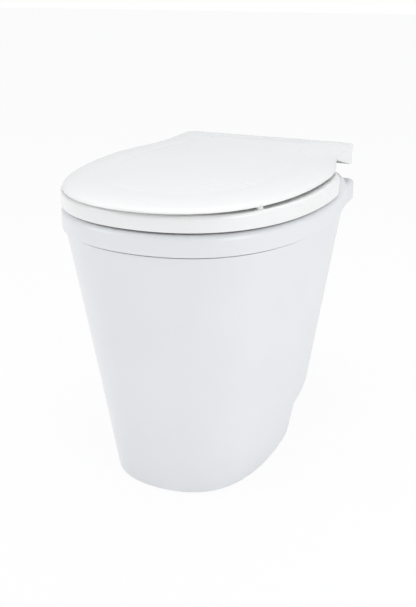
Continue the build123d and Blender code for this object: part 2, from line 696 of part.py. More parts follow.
def ring_points(half_width, front, rear, count):
    """Points round an oval, evenly spaced by angle and clear of its ends."""
    exponent = 2 / RIM_SQUARENESS
    points = []
    for index in range(count):
        angle = 2 * pi * (index + 0.5) / count
        reach = rear - TOP_MIDDLE_Y if sin(angle) > 0 else front + TOP_MIDDLE_Y
        x = half_width * copysign(abs(cos(angle)) ** exponent, cos(angle))
        y = TOP_MIDDLE_Y + reach * copysign(abs(sin(angle)) ** exponent, sin(angle))
        points.append((x, y))
    return points


def ring_oval(inset):
    """The hole in the deck, drawn in by inset (or out, below zero)."""
    oval(HOLE_HALF_WIDTH - inset, HOLE_FRONT - inset, HOLE_REAR - inset)


LEDGE_MIDDLE = LEDGE_WIDTH / 2
BOWL_SCREW_POINTS = ring_points(
    HOLE_HALF_WIDTH - LEDGE_MIDDLE, HOLE_FRONT - LEDGE_MIDDLE, HOLE_REAR - LEDGE_MIDDLE, BOWL_SCREW_COUNT
)
HINGE_BOLT_POINTS = mirrored([(x, HINGE_FOOT_Y) for x in HINGE_BOLT_X])

with BuildPart() as top_section:
    with BuildSketch(Plane.XY.offset(DECK_BOTTOM_Z)):
        with Locations((0, (DECK_FRONT_Y + DECK_REAR_Y) / 2)):
            Rectangle(2 * DECK_HALF_WIDTH, DECK_REAR_Y - DECK_FRONT_Y)
    extrude(amount=DECK_TOP_Z - DECK_BOTTOM_Z)
    deck_corners = top_section.edges().filter_by(Axis.Z).group_by(Axis.Y)[-1]
    fillet(deck_corners, DECK_CORNER)
    deck_top = top_section.faces().sort_by(Axis.Z)[-1].edges()
    fillet(deck_top.filter_by(lambda edge: edge.center().Y > DECK_FRONT_Y + 1), DECK_ROUND)
    with BuildSketch(Plane.XY.offset(BAND_BOTTOM_Z)):
        oval(BAND_HALF_WIDTH, BAND_FRONT, BAND_REAR)
        cut_rear(BAND_WALL_Y)
    extrude(amount=BAND_TOP_Z - BAND_BOTTOM_Z)
    fillet(top_section.faces().sort_by(Axis.Z)[-1].edges(), BAND_ROUND)
    # Hollow below the deck, clear of the housing's walls and neck
    with BuildSketch(Plane.XY.offset(DECK_BOTTOM_Z)):
        with Locations((0, (DECK_FRONT_Y + DECK_REAR_Y) / 2)):
            RectangleRounded(
                2 * (DECK_HALF_WIDTH - WALL), DECK_REAR_Y - DECK_FRONT_Y - 2 * WALL, DECK_CORNER - WALL
            )
    extrude(amount=DECK_TOP_Z - DECK_BOTTOM_Z - WALL, mode=Mode.SUBTRACT)
    add(
        tapered(DECK_BOTTOM_Z, DECK_TOP_Z - WALL, -BODY_CLEARANCE, BODY_BASE_REAR, REAR_WALL_Y),
        mode=Mode.SUBTRACT,
    )
    with BuildSketch(Plane.XY.offset(DECK_BOTTOM_Z)):
        oval(BAND_HALF_WIDTH - WALL, BAND_FRONT - WALL, BAND_REAR - WALL)
        cut_rear(BAND_WALL_Y - WALL)
    extrude(amount=BAND_TOP_Z - DECK_BOTTOM_Z - WALL, mode=Mode.SUBTRACT)
    # The hole for the bowl, with a sunk ledge that carries the bowl's flange
    with BuildSketch(Plane.XY.offset(LEDGE_BOTTOM_Z)):
        ring_oval(-LEDGE_WALL)
    extrude(amount=BAND_TOP_Z - LEDGE_BOTTOM_Z)
    with BuildSketch(Plane.XY.offset(LEDGE_TOP_Z)):
        ring_oval(0)
    extrude(amount=BAND_TOP_Z - LEDGE_TOP_Z, mode=Mode.SUBTRACT)
    with BuildSketch(Plane.XY.offset(LEDGE_BOTTOM_Z)):
        ring_oval(LEDGE_WIDTH)
        with Locations(*BOWL_SCREW_POINTS):
            Circle(BOWL_SCREW_HOLE)
    extrude(amount=LEDGE_TOP_Z - LEDGE_BOTTOM_Z, mode=Mode.SUBTRACT)
    with BuildSketch(Plane.XY.offset(DECK_TOP_Z - WALL)):
        with Locations(*HINGE_BOLT_POINTS):
            Circle(M5_HOLE_RADIUS)
    extrude(amount=WALL, mode=Mode.SUBTRACT)
save(top_section, "top_section")

# Bowl: a flange that lies in the deck's ledge, the urine basin at the front with its
# spout, and the open chute at the rear above the container
SEAL_THICKNESS = 1.5
FLANGE_BOTTOM_Z = LEDGE_TOP_Z + SEAL_THICKNESS
BOWL_FLANGE = 3.0
BOWL_TOP_Z = FLANGE_BOTTOM_Z + BOWL_FLANGE
BOWL_WALL = 3.0
BASIN_HALF_WIDTH = 95.0
BASIN_FRONT = 203.0
BASIN_REAR = -62.0
BASIN_MIDDLE_Y = -110.0
SPOUT_RADIUS = 17.0
SPOUT_BORE_RADIUS = 14.0
SPOUT_STEP = 0.5
SPOUT_TOP_Z = 320.0
SPOUT_BOTTOM_Z = 274.0
STRAINER_SEAT_Z = 314.0
STRAINER_SEAT_RADIUS = 12.0
STRAINER_CLEARANCE = 0.2
STRAINER_THICKNESS = 1.5
STRAINER_HOLE_RADIUS = 1.4
STRAINER_INNER_RING = 4.0
STRAINER_OUTER_RING = 8.6
CHUTE_HALF_WIDTH = 94.0
CHUTE_FRONT = 50.0
CHUTE_REAR = 95.0
CHUTE_MIDDLE_Y = 22.0
CHUTE_TAPER = 8.0
CHUTE_BOTTOM_Z = 262.0
ROUND = 0.5523


def basin(inset, mode):
    """The urine basin: a wide oval at the top that runs down to the round spout."""
    with BuildSketch(Plane.XY.offset(BOWL_TOP_Z)) as high:
        oval(BASIN_HALF_WIDTH - inset, BASIN_FRONT - inset, BASIN_REAR - inset, BASIN_MIDDLE_Y)
    spout = SPOUT_BORE_RADIUS + SPOUT_STEP - inset
    with BuildSketch(Plane.XY.offset(SPOUT_TOP_Z)) as low:
        oval(spout, -SPOUT_Y + spout, SPOUT_Y + spout, SPOUT_Y, ROUND)
    loft([low.sketch.face(), high.sketch.face()], ruled=True, mode=mode)


def chute(inset, mode):
    """The rear chute: an open oval that narrows a little downwards."""
    with BuildSketch(Plane.XY.offset(BOWL_TOP_Z)) as high:
        oval(CHUTE_HALF_WIDTH - inset, CHUTE_FRONT - inset, CHUTE_REAR - inset, CHUTE_MIDDLE_Y)
    low_inset = inset + CHUTE_TAPER
    with BuildSketch(Plane.XY.offset(CHUTE_BOTTOM_Z)) as low:
        oval(CHUTE_HALF_WIDTH - low_inset, CHUTE_FRONT - low_inset, CHUTE_REAR - low_inset, CHUTE_MIDDLE_Y)
    loft([low.sketch.face(), high.sketch.face()], ruled=True, mode=mode)


with BuildPart() as diverter_bowl:
    with BuildSketch(Plane.XY.offset(FLANGE_BOTTOM_Z)):
        ring_oval(1.0)
        with Locations(*BOWL_SCREW_POINTS):
            Circle(M4_HOLE_RADIUS, mode=Mode.SUBTRACT)
    extrude(amount=BOWL_FLANGE)
    basin(-BOWL_WALL, Mode.ADD)
    chute(-BOWL_WALL, Mode.ADD)
    with BuildSketch(Plane.XY.offset(SPOUT_BOTTOM_Z)):
        with Locations((0, SPOUT_Y)):
            Circle(SPOUT_RADIUS)
    extrude(amount=SPOUT_TOP_Z - SPOUT_BOTTOM_Z)
    basin(0, Mode.SUBTRACT)
    chute(0, Mode.SUBTRACT)
    with BuildSketch(Plane.XY.offset(STRAINER_SEAT_Z)):
        with Locations((0, SPOUT_Y)):
            Circle(SPOUT_BORE_RADIUS)
    extrude(amount=SPOUT_TOP_Z - STRAINER_SEAT_Z, mode=Mode.SUBTRACT)
    with BuildSketch(Plane.XY.offset(SPOUT_BOTTOM_Z)):
        with Locations((0, SPOUT_Y)):
            Circle(STRAINER_SEAT_RADIUS)
    extrude(amount=STRAINER_SEAT_Z - SPOUT_BOTTOM_Z, mode=Mode.SUBTRACT)
save(diverter_bowl, "diverter_bowl")

with BuildPart() as bowl_seal:
    with BuildSketch(Plane.XY.offset(LEDGE_TOP_Z)):
        ring_oval(1.0)
        with BuildSketch(mode=Mode.SUBTRACT):
            ring_oval(LEDGE_WIDTH - 1.0)
        with Locations(*BOWL_SCREW_POINTS):
            Circle(M4_HOLE_RADIUS, mode=Mode.SUBTRACT)
    extrude(amount=SEAL_THICKNESS)
save(bowl_seal, "bowl_seal")

BOWL_SCREW_RADIUS = BOWL_SCREW_HOLE - PIN_CLEARANCE

with BuildPart() as bowl_screws:
    with BuildSketch(Plane.XY.offset(BOWL_TOP_Z)):
        with Locations(*BOWL_SCREW_POINTS):
            Circle(M4_HEAD_RADIUS)
    extrude(amount=M4_HEAD_HEIGHT)
    with BuildSketch(Plane.XY.offset(BOWL_TOP_Z)):
        with Locations(*BOWL_SCREW_POINTS):
            Circle(BOWL_SCREW_RADIUS)
    extrude(amount=-(BOWL_TOP_Z - LEDGE_BOTTOM_Z + 2.0))
save(bowl_screws, "bowl_screws")

with BuildPart() as urine_strainer:
    with BuildSketch(Plane.XY.offset(STRAINER_SEAT_Z)):
        with Locations((0, SPOUT_Y)):
            Circle(SPOUT_BORE_RADIUS - STRAINER_CLEARANCE)
            with PolarLocations(STRAINER_INNER_RING, 5):
                Circle(STRAINER_HOLE_RADIUS, mode=Mode.SUBTRACT)
            with PolarLocations(STRAINER_OUTER_RING, 10):
                Circle(STRAINER_HOLE_RADIUS, mode=Mode.SUBTRACT)
    extrude(amount=STRAINER_THICKNESS)
save(urine_strainer, "urine_strainer")

# Hinges: a bracket each side is bolted to the rear deck and reaches back to an eye for the
# pin, so that the lid can swing down behind it. The lid's knuckles run on the pin inboard
# of the brackets and the seat's outboard.
POST_X = 86.0
POST_WIDTH = 16.0
POST_RADIUS = 9.0
POST_COLUMN_LENGTH = 12.0
POST_COLUMN_FRONT_Y = 186.0
POST_BASE_WIDTH = 40.0
POST_BASE_LENGTH = 24.0
POST_BASE = 5.0
KNUCKLE_WIDTH = 17.0
KNUCKLE_RADIUS = 9.0
HINGE_SIDE_GAP = 0.3
PIN_INSIDE_X = POST_X - POST_WIDTH / 2 - HINGE_SIDE_GAP - KNUCKLE_WIDTH
PIN_OUTSIDE_X = POST_X + POST_WIDTH / 2 + HINGE_SIDE_GAP + KNUCKLE_WIDTH
SEAT_KNUCKLE_X = (PIN_OUTSIDE_X + POST_X + POST_WIDTH / 2 + HINGE_SIDE_GAP) / 2
LID_KNUCKLE_X = (PIN_INSIDE_X + POST_X - POST_WIDTH / 2 - HINGE_SIDE_GAP) / 2
M5_HEAD_RADIUS = 4.6
M5_HEAD_HEIGHT = 3.0
M5_WASHER_RADIUS = 5.0
M5_WASHER = 1.0
M5_NUT_HEIGHT = 4.0
BOLT_STANDOUT = 1.5
M5_NUT_BORE = 2.53


def across(x, radius, width, mode=Mode.ADD):
    """A disc on the hinge axis, centred at this X."""
    with BuildSketch(Plane.YZ.offset(x - width / 2)) as disc:
        with Locations((HINGE_Y, HINGE_Z)):
            Circle(radius)
    extrude(disc.sketch.face(), amount=width, dir=(1, 0, 0), mode=mode)


for side, name in ((-1, "hinge_post_left"), (1, "hinge_post_right")):
    with BuildPart() as post:
        with Locations((side * POST_X, HINGE_FOOT_Y, DECK_TOP_Z)):
            Box(POST_BASE_WIDTH, POST_BASE_LENGTH, POST_BASE, align=(Align.CENTER, Align.CENTER, Align.MIN))
        with Locations((side * POST_X, POST_COLUMN_FRONT_Y, DECK_TOP_Z)):
            Box(
                POST_WIDTH,
                POST_COLUMN_LENGTH,
                HINGE_Z + POST_RADIUS - DECK_TOP_Z,
                align=(Align.CENTER, Align.MIN, Align.MIN),
            )
        with Locations((side * POST_X, POST_COLUMN_FRONT_Y, HINGE_Z)):
            Box(
                POST_WIDTH,
                HINGE_Y - POST_COLUMN_FRONT_Y,
                2 * POST_RADIUS,
                align=(Align.CENTER, Align.MIN, Align.CENTER),
            )
        across(side * POST_X, POST_RADIUS, POST_WIDTH)
        across(side * POST_X, PIN_RADIUS, POST_WIDTH + 2, Mode.SUBTRACT)
        with BuildSketch(Plane.XY.offset(DECK_TOP_Z)):
            with Locations(*[(side * x, HINGE_FOOT_Y) for x in HINGE_BOLT_X]):
                Circle(M5_HOLE_RADIUS)
        extrude(amount=POST_BASE, mode=Mode.SUBTRACT)
    save(post, name)

with BuildPart() as hinge_pins:
    for side in (-1, 1):
        middle = side * (PIN_INSIDE_X + PIN_OUTSIDE_X) / 2
        across(middle, PIN_RADIUS, PIN_OUTSIDE_X - PIN_INSIDE_X + 2)
        across(side * (PIN_OUTSIDE_X + 2), PIN_RADIUS + 2, 2)
save(hinge_pins, "hinge_pins")

with BuildPart() as hinge_bolts:
    with BuildSketch(Plane.XY.offset(DECK_TOP_Z + POST_BASE)):
        with Locations(*HINGE_BOLT_POINTS):
            Circle(M5_HEAD_RADIUS)
    extrude(amount=M5_HEAD_HEIGHT)
    with BuildSketch(Plane.XY.offset(DECK_TOP_Z + POST_BASE)):
        with Locations(*HINGE_BOLT_POINTS):
            Circle(M5_RADIUS)
    extrude(amount=-(POST_BASE + WALL + M5_WASHER + M5_NUT_HEIGHT + BOLT_STANDOUT))
save(hinge_bolts, "hinge_bolts")

with BuildPart() as hinge_washers:
    with BuildSketch(Plane.XY.offset(DECK_TOP_Z - WALL)):
        with Locations(*HINGE_BOLT_POINTS):
            Circle(M5_WASHER_RADIUS)
            Circle(M5_HOLE_RADIUS, mode=Mode.SUBTRACT)
    extrude(amount=-M5_WASHER)
save(hinge_washers, "hinge_washers")

with BuildPart() as hinge_nuts:
    with BuildSketch(Plane.XY.offset(DECK_TOP_Z - WALL - M5_WASHER)):
        with Locations(*HINGE_BOLT_POINTS):
            RegularPolygon(M5_HEAD_RADIUS, 6)
            Circle(M5_NUT_BORE, mode=Mode.SUBTRACT)
    extrude(amount=-M5_NUT_HEIGHT)
save(hinge_nuts, "hinge_nuts")

# Seat: a hollow ring that is open below, on four rubber bumpers
SEAT_HALF_WIDTH = 192.5
SEAT_FRONT = 267.0
SEAT_EAR_HALF_WIDTH = 138.0
SEAT_EAR_START = 160.0
SEAT_REAR = 204.0
SEAT_CORNER = 14.0
SEAT_ROUND = 5.0
SEAT_LIP = 6.0
SEAT_ROOF = 6.0
BUMPER_GAP = 0.2
SEAT_BUMPER_RADIUS = 7.0
SEAT_BUMPER_STEM = 3.0
SEAT_BUMPER_BOSS = 9.0
STEM_LENGTH = 6.0
SEAT_BUMPER_POINTS = mirrored([(95.0, -205.0), (150.0, 55.0)])
ARM_HEIGHT = 14.0
NOTCH_START_Y = 179.0
NOTCH_WIDTH = POST_WIDTH + 2 * HINGE_SIDE_GAP


def seat_outline(inset):
    """The seat's outer outline, drawn in by inset."""
    eared(
        SEAT_HALF_WIDTH - inset,
        SEAT_FRONT - inset,
        SEAT_EAR_HALF_WIDTH - inset,
        SEAT_EAR_START,
        SEAT_REAR - inset,
        SEAT_CORNER,
    )


with BuildPart() as seat:
    with BuildSketch(Plane.XY.offset(SEAT_BOTTOM_Z)):
        seat_outline(0)
        with BuildSketch(mode=Mode.SUBTRACT):
            oval(OPENING_HALF_WIDTH, OPENING_FRONT, OPENING_REAR)
    extrude(amount=SEAT_TOP_Z - SEAT_BOTTOM_Z)
    fillet(seat.faces().sort_by(Axis.Z)[-1].edges(), SEAT_ROUND)
    with BuildSketch(Plane.XY.offset(SEAT_BOTTOM_Z)):
        seat_outline(SEAT_LIP)
        with BuildSketch(mode=Mode.SUBTRACT):
            oval(OPENING_HALF_WIDTH + SEAT_LIP, OPENING_FRONT + SEAT_LIP, OPENING_REAR + SEAT_LIP)
        with BuildSketch(mode=Mode.SUBTRACT):
            with Locations(*SEAT_BUMPER_POINTS):
                Circle(SEAT_BUMPER_BOSS)
        with BuildSketch(mode=Mode.SUBTRACT):
            with Locations(*mirrored([(POST_X, NOTCH_START_Y - SEAT_LIP + FAR / 2)])):
                Rectangle(NOTCH_WIDTH + 2 * SEAT_LIP, FAR)
    extrude(amount=SEAT_TOP_Z - SEAT_BOTTOM_Z - SEAT_ROOF, mode=Mode.SUBTRACT)
    # A notch each side clears the hinge bracket
    with BuildSketch(Plane.XY.offset(SEAT_BOTTOM_Z)):
        with Locations(*mirrored([(POST_X, NOTCH_START_Y + FAR / 2)])):
            Rectangle(NOTCH_WIDTH, FAR)
    extrude(amount=SEAT_TOP_Z - SEAT_BOTTOM_Z, mode=Mode.SUBTRACT)
    for side in (-1, 1):
        across(side * SEAT_KNUCKLE_X, KNUCKLE_RADIUS, KNUCKLE_WIDTH)
        with Locations((side * SEAT_KNUCKLE_X, SEAT_REAR - SEAT_LIP, HINGE_Z)):
            Box(
                KNUCKLE_WIDTH,
                HINGE_Y - SEAT_REAR + SEAT_LIP,
                ARM_HEIGHT,
                align=(Align.CENTER, Align.MIN, Align.CENTER),
            )
        across(side * SEAT_KNUCKLE_X, PIN_RADIUS + PIN_CLEARANCE, KNUCKLE_WIDTH + 2, Mode.SUBTRACT)
    with BuildSketch(Plane.XY.offset(SEAT_BOTTOM_Z)):
        with Locations(*SEAT_BUMPER_POINTS):
            Circle(SEAT_BUMPER_STEM)
    extrude(amount=STEM_LENGTH, mode=Mode.SUBTRACT)
save(seat, "seat")

with BuildPart() as seat_bumpers:
    with BuildSketch(Plane.XY.offset(BAND_TOP_Z + BUMPER_GAP)):
        with Locations(*SEAT_BUMPER_POINTS):
            Circle(SEAT_BUMPER_RADIUS)
    extrude(amount=SEAT_BOTTOM_Z - BAND_TOP_Z - BUMPER_GAP)
    with BuildSketch(Plane.XY.offset(SEAT_BOTTOM_Z)):
        with Locations(*SEAT_BUMPER_POINTS):
            Circle(SEAT_BUMPER_STEM - PIN_CLEARANCE)
    extrude(amount=STEM_LENGTH - 1)
save(seat_bumpers, "seat_bumpers")

# Lid: a domed shell that is thin at its edge, whose rear corners hang down over the hinges
LID_HALF_WIDTH = 182.0
LID_FRONT = 277.0
LID_EAR_HALF_WIDTH = 154.0
LID_EAR_START = 168.0
LID_REAR = 244.5
LID_CORNER = 10.0
LID_SKIN = 4.0
LID_LIP = 5.0
LID_EDGE = 1.5
LID_DOME_HEIGHT = LID_TOP_Z - LID_BOTTOM_Z - LID_EDGE
LID_DOME_WIDTH = 60.0
LID_DOME_STEPS = 5
SKIRT_BOTTOM_Z = 412.0
SKIRT_START_Y = 118.0
SKIRT_FULL_Y = 240.0
SKIRT_INSIDE_X = 118.0
KNUCKLE_BLOCK_TOP_Z = LID_BOTTOM_Z + LID_EDGE + 4.5
LID_BUMPER_RADIUS = 5.0
LID_BUMPER_STEM = 2.0
LID_BUMPER_BOSS = 7.0
LID_STEM_LENGTH = 3.0
LID_BUMPER_POINTS = mirrored([(141.0, -188.0), (150.0, 62.0)])


def lid_outline(inset):
    """The lid's outer outline, drawn in by inset."""
    eared(
        LID_HALF_WIDTH - inset,
        LID_FRONT - inset,
        LID_EAR_HALF_WIDTH - inset,
        LID_EAR_START,
        LID_REAR - inset,
        LID_CORNER,
    )


def dome(bottom, top_drop, inset):
    """The lid's solid form: a straight edge, then a dome of quarter-ellipse section."""
    with BuildPart() as shape:
        with BuildSketch(Plane.XY.offset(bottom)):
            lid_outline(inset)
        extrude(amount=LID_BOTTOM_Z + LID_EDGE - top_drop - bottom)
        for step in range(LID_DOME_STEPS + 1):
            angle = pi / 2 * step / LID_DOME_STEPS
            height = LID_BOTTOM_Z + LID_EDGE - top_drop + LID_DOME_HEIGHT * sin(angle)
            with BuildSketch(Plane.XY.offset(height)):
                lid_outline(inset + LID_DOME_WIDTH * (1 - cos(angle)))
        loft()
    return shape.part


with BuildPart() as lid_hollow:
    add(dome(SKIRT_BOTTOM_Z, LID_SKIN, LID_LIP))
    with BuildSketch(Plane.XY.offset(LID_BOTTOM_Z)):
        with Locations(*LID_BUMPER_POINTS):
            Circle(LID_BUMPER_BOSS)
    extrude(amount=LID_TOP_Z - LID_BOTTOM_Z, mode=Mode.SUBTRACT)

# The skirt hangs at the rear corners only and deepens over a slope at each side
with BuildPart() as lid_skirt:
    with BuildSketch(Plane.XY.offset(SKIRT_BOTTOM_Z)):
        lid_outline(0)
        Rectangle(2 * SKIRT_INSIDE_X, 2 * FAR, mode=Mode.SUBTRACT)
    extrude(amount=LID_BOTTOM_Z + 1 - SKIRT_BOTTOM_Z)
    with BuildSketch(Plane.YZ.offset(-FAR)):
        with BuildLine():
            Polyline(
                (-FAR, SKIRT_BOTTOM_Z),
                (SKIRT_FULL_Y, SKIRT_BOTTOM_Z),
                (SKIRT_START_Y, LID_BOTTOM_Z + 1),
                (-FAR, LID_BOTTOM_Z + 1),
                close=True,
            )
        make_face()
    extrude(amount=2 * FAR, mode=Mode.SUBTRACT)

with BuildPart() as lid:
    add(dome(LID_BOTTOM_Z, 0, 0))
    add(lid_skirt.part)
    add(lid_hollow.part, mode=Mode.SUBTRACT)
    for side in (-1, 1):
        with Locations((side * LID_KNUCKLE_X, HINGE_Y, HINGE_Z)):
            Box(
                KNUCKLE_WIDTH,
                2 * KNUCKLE_RADIUS,
                KNUCKLE_BLOCK_TOP_Z - HINGE_Z,
                align=(Align.CENTER, Align.CENTER, Align.MIN),
            )
        across(side * LID_KNUCKLE_X, KNUCKLE_RADIUS, KNUCKLE_WIDTH)
        across(side * LID_KNUCKLE_X, PIN_RADIUS + PIN_CLEARANCE, KNUCKLE_WIDTH + 2, Mode.SUBTRACT)
    # Bosses under the skin hold the bumpers' stems
    with BuildSketch(Plane.XY.offset(LID_BOTTOM_Z)):
        with Locations(*LID_BUMPER_POINTS):
            Circle(LID_BUMPER_STEM)
    extrude(amount=LID_STEM_LENGTH, mode=Mode.SUBTRACT)
save(lid, "lid")

with BuildPart() as lid_bumpers:
    with BuildSketch(Plane.XY.offset(SEAT_TOP_Z + BUMPER_GAP)):
        with Locations(*LID_BUMPER_POINTS):
            Circle(LID_BUMPER_RADIUS)
    extrude(amount=LID_BOTTOM_Z - SEAT_TOP_Z - BUMPER_GAP)
    with BuildSketch(Plane.XY.offset(LID_BOTTOM_Z)):
        with Locations(*LID_BUMPER_POINTS):
            Circle(LID_BUMPER_STEM - PIN_CLEARANCE)
    extrude(amount=LID_STEM_LENGTH - 1)
save(lid_bumpers, "lid_bumpers")
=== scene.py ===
"""Looks of a floor-standing dry toilet: seat and lid on a band, tapered body on a plinth."""
import bpy
from math import cos, pi, radians, sin
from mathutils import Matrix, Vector


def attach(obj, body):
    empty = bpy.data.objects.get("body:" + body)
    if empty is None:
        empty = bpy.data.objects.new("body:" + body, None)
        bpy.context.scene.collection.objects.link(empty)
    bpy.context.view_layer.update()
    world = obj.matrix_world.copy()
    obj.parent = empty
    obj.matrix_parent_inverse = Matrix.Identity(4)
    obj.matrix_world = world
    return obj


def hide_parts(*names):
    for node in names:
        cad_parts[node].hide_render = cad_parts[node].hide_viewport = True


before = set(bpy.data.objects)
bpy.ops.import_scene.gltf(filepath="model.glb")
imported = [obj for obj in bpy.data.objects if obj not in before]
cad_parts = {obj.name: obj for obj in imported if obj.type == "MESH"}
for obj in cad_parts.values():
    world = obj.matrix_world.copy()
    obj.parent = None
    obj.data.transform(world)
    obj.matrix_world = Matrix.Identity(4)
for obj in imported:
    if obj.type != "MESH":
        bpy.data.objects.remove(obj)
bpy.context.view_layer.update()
scene = bpy.context.scene

# Camera: a short telephoto a little above the seat, turned to the sitter's left front, as
# the product photograph is taken.
AIM = Vector((0, 0, 0.22))
TURN = radians(22.99)
TILT = radians(21.88)
DISTANCE = 1.318
toward_camera = Vector((sin(TURN) * cos(TILT), -cos(TURN) * cos(TILT), sin(TILT)))
bpy.ops.object.camera_add(location=AIM + DISTANCE * toward_camera)
camera = bpy.context.object
camera.rotation_euler = toward_camera.to_track_quat("Z", "Y").to_euler()
camera.data.lens = 48.62
camera.data.shift_x = -0.0101
camera.data.shift_y = 0.0013
scene.camera = camera
scene.view_settings.view_transform = "Standard"


# Studio: a pale seamless floor under an even sky, with a large softbox each side of the
# camera and one overhead. Floor and sky are drawn white to the camera.
def linear(hex_value):
    """An sRGB hex colour as linear RGBA."""
    channels = [int(hex_value[place:place + 2], 16) / 255 for place in (1, 3, 5)]
    return [c / 12.92 if c <= 0.04045 else ((c + 0.055) / 1.055) ** 2.4 for c in channels] + [1]


def add_node(tree, kind, settings, links):
    """Adds a node, sets its sockets or properties by name, and links its sockets."""
    made = tree.nodes.new(kind)
    for name, value in settings.items():
        if name in made.inputs:
            made.inputs[name].default_value = value
        else:
            setattr(made, name, value)
    for name, source in links.items():
        tree.links.new(source, made.inputs[name])
    return made


def dress(nodes, material):
    """Gives each named CAD node the material alone."""
    for node in nodes:
        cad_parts[node].data.materials.clear()
        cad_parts[node].data.materials.append(material)


world = bpy.data.worlds.new("studio_sky")
scene.world = world
world.use_nodes = True
sky = world.node_tree
sky.nodes.clear()
sky_ray = add_node(sky, "ShaderNodeLightPath", {}, {})
sky_seen = add_node(
    sky, "ShaderNodeMath", {"operation": "MAXIMUM"},
    {0: sky_ray.outputs["Is Camera Ray"], 1: sky_ray.outputs["Is Transmission Ray"]},
)
sky_light = add_node(
    sky, "ShaderNodeBackground", {"Color": linear("#F4F6F9"), "Strength": 0.62}, {}
)
sky_white = add_node(sky, "ShaderNodeBackground", {"Color": (1, 1, 1, 1), "Strength": 1.0}, {})
sky_mix = add_node(
    sky, "ShaderNodeMixShader", {},
    {0: sky_seen.outputs[0], 1: sky_light.outputs[0], 2: sky_white.outputs[0]},
)
add_node(sky, "ShaderNodeOutputWorld", {}, {"Surface": sky_mix.outputs[0]})

bpy.ops.object.select_all(action="DESELECT")
bpy.ops.mesh.primitive_plane_add(size=24, location=(0, 4, 0))
floor = bpy.context.object
floor.name = "studio_floor"
floor_paper = bpy.data.materials.new("white_paper_floor")
floor_paper.use_nodes = True
paper = floor_paper.node_tree
paper.nodes.clear()
paper_ray = add_node(paper, "ShaderNodeLightPath", {}, {})
paper_seen = add_node(
    paper, "ShaderNodeMath", {"operation": "MAXIMUM"},
    {0: paper_ray.outputs["Is Camera Ray"], 1: paper_ray.outputs["Is Glossy Ray"]},
)
paper_share = add_node(
    paper, "ShaderNodeMath", {"operation": "MULTIPLY"}, {0: paper_seen.outputs[0]}
)
paper_share.inputs[1].default_value = 0.92
paper_glow = add_node(paper, "ShaderNodeEmission", {"Color": (1, 1, 1, 1), "Strength": 1.0}, {})
paper_lift = add_node(
    paper, "ShaderNodeMixShader", {}, {0: paper_share.outputs[0], 2: paper_glow.outputs[0]}
)
paper_matte = add_node(paper, "ShaderNodeBsdfDiffuse", {"Color": linear("#F6F6F6")}, {})
paper.links.new(paper_matte.outputs[0], paper_lift.inputs[1])
add_node(paper, "ShaderNodeOutputMaterial", {}, {"Surface": paper_lift.outputs[0]})
floor.data.materials.append(floor_paper)

for name, place, size, power in (
    ("softbox_left", (-1.7, -1.3, 1.2), 1.1, 12.0),
    ("softbox_right", (1.9, -1.0, 1.1), 1.0, 13.0),
    ("softbox_top", (0.1, 0.1, 2.2), 1.6, 15.0),
):
    bpy.ops.object.light_add(type="AREA", location=place)
    lamp = bpy.context.object
    lamp.name = name
    lamp.data.size = size
    lamp.data.energy = power
    lamp.rotation_euler = (Vector(place) - AIM).to_track_quat("Z", "Y").to_euler()

# Body: the housing tub and the top section are one kind of moulding, cool white ABS with a
# satin face. Light moulding mottle and a faint orange peel keep its highlights soft.
abs_white = bpy.data.materials.new("satin_abs_moulding")
abs_white.use_nodes = True
tree = abs_white.node_tree
shader = tree.nodes["Principled BSDF"]
shader.inputs["IOR"].default_value = 1.52
shader.inputs["Coat Weight"].default_value = 0.12
shader.inputs["Coat Roughness"].default_value = 0.12
place = add_node(tree, "ShaderNodeTexCoord", {}, {})
clouds = add_node(
    tree, "ShaderNodeTexNoise", {"Scale": 9.0, "Detail": 3.0}, {"Vector": place.outputs["Object"]}
)
mottle = add_node(tree, "ShaderNodeValToRGB", {}, {"Fac": clouds.outputs["Fac"]})
mottle.color_ramp.elements[0].color = linear("#E6E8EA")
mottle.color_ramp.elements[1].color = linear("#EDEEF0")
tree.links.new(mottle.outputs["Color"], shader.inputs["Base Color"])
gloss = add_node(
    tree, "ShaderNodeMapRange", {"To Min": 0.30, "To Max": 0.40}, {"Value": clouds.outputs["Fac"]}
)
tree.links.new(gloss.outputs["Result"], shader.inputs["Roughness"])
# Peel of about 2.5 mm, drawn coarser than the real 1 mm so that it shows
peel = add_node(
    tree, "ShaderNodeTexNoise", {"Scale": 400.0, "Detail": 2.0},
    {"Vector": place.outputs["Object"]}
)
relief = add_node(
    tree, "ShaderNodeBump", {"Strength": 0.10, "Distance": 0.0001}, {"Height": peel.outputs["Fac"]}
)
tree.links.new(relief.outputs["Normal"], shader.inputs["Normal"])
dress(("housing", "top_section", "pipe_clips", "hinge_post_left", "hinge_post_right"), abs_white)

# Lid: one thin injection moulding in smooth neutral white, domed from a soft edge, with a
# faint step before its hinge edge. Its rear corners hang down over the hinges, and blocks
# under the skin carry the knuckles and the bumpers' bosses.
LID_MIDDLE = -0.012
LID_HALF = 0.182
LID_FRONT = 0.277
LID_EAR = 0.154
LID_EAR_START = 0.168
LID_REAR = 0.2445
LID_CORNER = 0.010
LID_BOTTOM = 0.444
LID_EDGE = 0.0015
DOME_RISE = 0.0087
DOME_REACH = 0.060
CROWN_RISE = 0.0008
SKIRT_BOTTOM = 0.412
SKIRT_START = 0.118
SKIRT_FULL = 0.240
SKIRT_INSIDE = 0.118
STEP_Y = 0.212
STEP_RUN = 0.004
STEP_DROP = 0.0006
CROWN_STEP = 0.005
EDGE_ROUND = 0.0008
SKIRT_INSET = 0.0018
SKIN = 0.0035
CIRCLE = 0.5523
FULLNESS = 0.64
EAR_LEAN = 0.45
EAR_EASE = 0.3
REAR_PULL = 0.01
DOME_RINGS = 12
KNUCKLE_X = 0.0692
KNUCKLE_WIDTH = 0.017
KNUCKLE_RADIUS = 0.009
PIN_BORE_RADIUS = 0.00405
HINGE_Y = 0.226
HINGE_Z = 0.426
